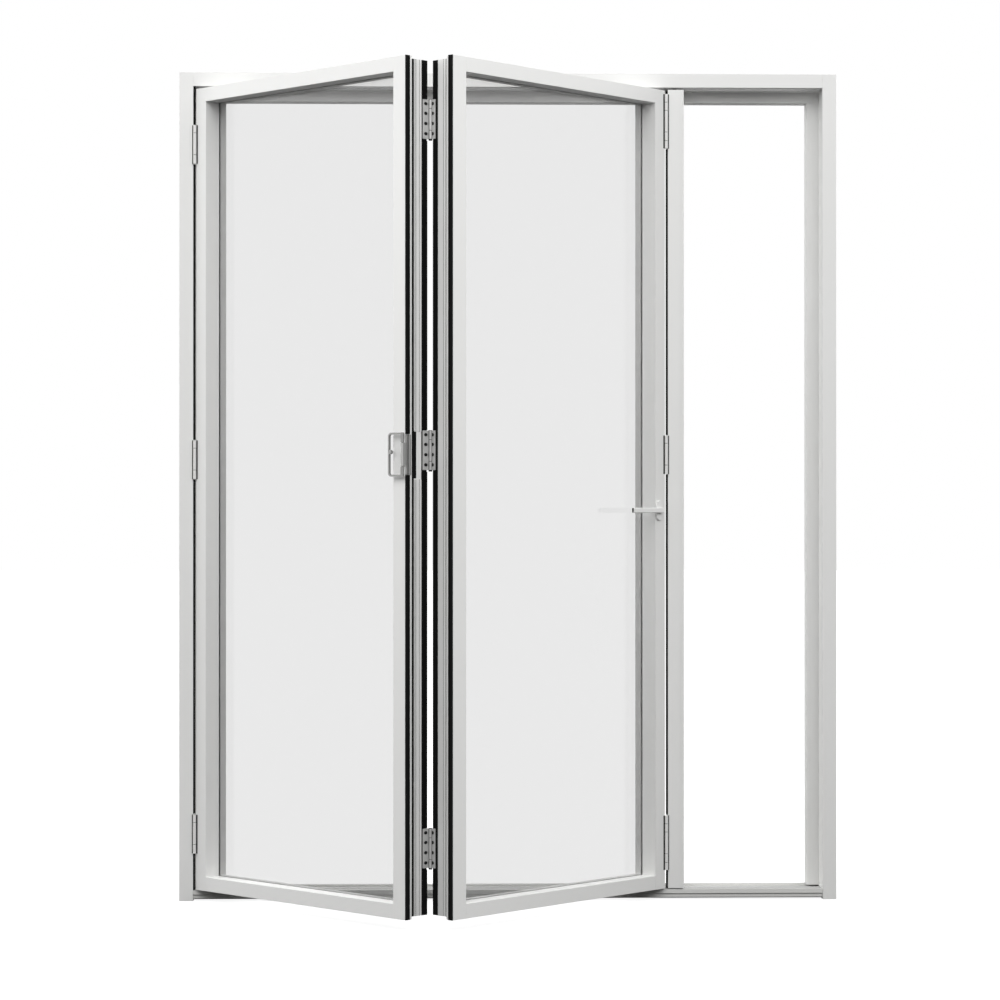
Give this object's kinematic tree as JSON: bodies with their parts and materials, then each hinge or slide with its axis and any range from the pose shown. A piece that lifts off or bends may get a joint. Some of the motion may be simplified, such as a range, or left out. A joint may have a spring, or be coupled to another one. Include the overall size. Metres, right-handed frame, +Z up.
{
  "type": "bifold glass patio door",
  "caption": "White bifold glass patio door, two framed glass panels folded out as a V with a travelling post, a lever and a D-shaped pull.",
  "frame": {"origin": "Middle of the flat underside of the sill, on the floor.", "axes": "X runs to the right along the opening, seen from outside. Y runs inwards from the outside. Z is up."},
  "size_m": [1.669, 0.6767, 2.1],
  "materials": {
    "white_powder_coat": "satin white powder coat on aluminium",
    "white_coated_steel": "satin white paint on steel hinges",
    "satin_steel": "satin stainless steel",
    "anodised_aluminium": "silver anodised",
    "black_rubber": "matt EPDM",
    "black_nylon": "black nylon",
    "clear_glass": "clear double glazing"
  },
  "bodies": {
    "door": {"head": "white_powder_coat", "left_jamb": "white_powder_coat", "right_jamb": "white_powder_coat", "sill": "white_powder_coat", "head_track": "anodised_aluminium", "sill_guide": "anodised_aluminium", "left_hinge_stile": "white_powder_coat", "left_meeting_stile": "white_powder_coat", "left_top_rail": "white_powder_coat", "left_bottom_rail": "white_powder_coat", "left_glass": "clear_glass", "left_glazing_bead": "white_powder_coat", "left_glazing_gasket": "black_rubber", "left_outer_seal": "black_rubber", "left_inner_seal": "black_rubber", "right_hinge_stile": "white_powder_coat", "right_meeting_stile": "white_powder_coat", "right_top_rail": "white_powder_coat", "right_bottom_rail": "white_powder_coat", "right_glass": "clear_glass", "right_glazing_bead": "white_powder_coat", "right_glazing_gasket": "black_rubber", "right_outer_seal": "black_rubber", "right_inner_seal": "black_rubber", "travelling_post": "white_powder_coat", "top_carrier": "black_nylon", "bottom_guide": "black_nylon", "jamb_hinge_bottom": "white_coated_steel", "jamb_hinge_middle": "white_coated_steel", "jamb_hinge_top": "white_coated_steel", "meeting_hinge_bottom": "satin_steel", "meeting_hinge_middle": "satin_steel", "meeting_hinge_top": "satin_steel", "post_hinge_bottom": "white_coated_steel", "post_hinge_middle": "white_coated_steel", "post_hinge_top": "white_coated_steel", "pull_hinge": "satin_steel", "lever_rose": "white_powder_coat"},
    "pull": {"pull_handle": "satin_steel"},
    "lever": {"lever_handle": "white_powder_coat"}
  },
  "joints": [
    {"name": "pull_swing", "type": "hinge", "parent": "door", "child": "pull", "pos_m": [-0.26299, -0.63154, 1.12], "axis": [0, 0, 1], "range_deg": [0, 180]},
    {"name": "lever_turn", "type": "hinge", "parent": "door", "child": "lever", "pos_m": [0.38394, -0.10435, 0.9895], "axis": [0.712, -0.7022, 0], "range_deg": [0, 90]}
  ]
}
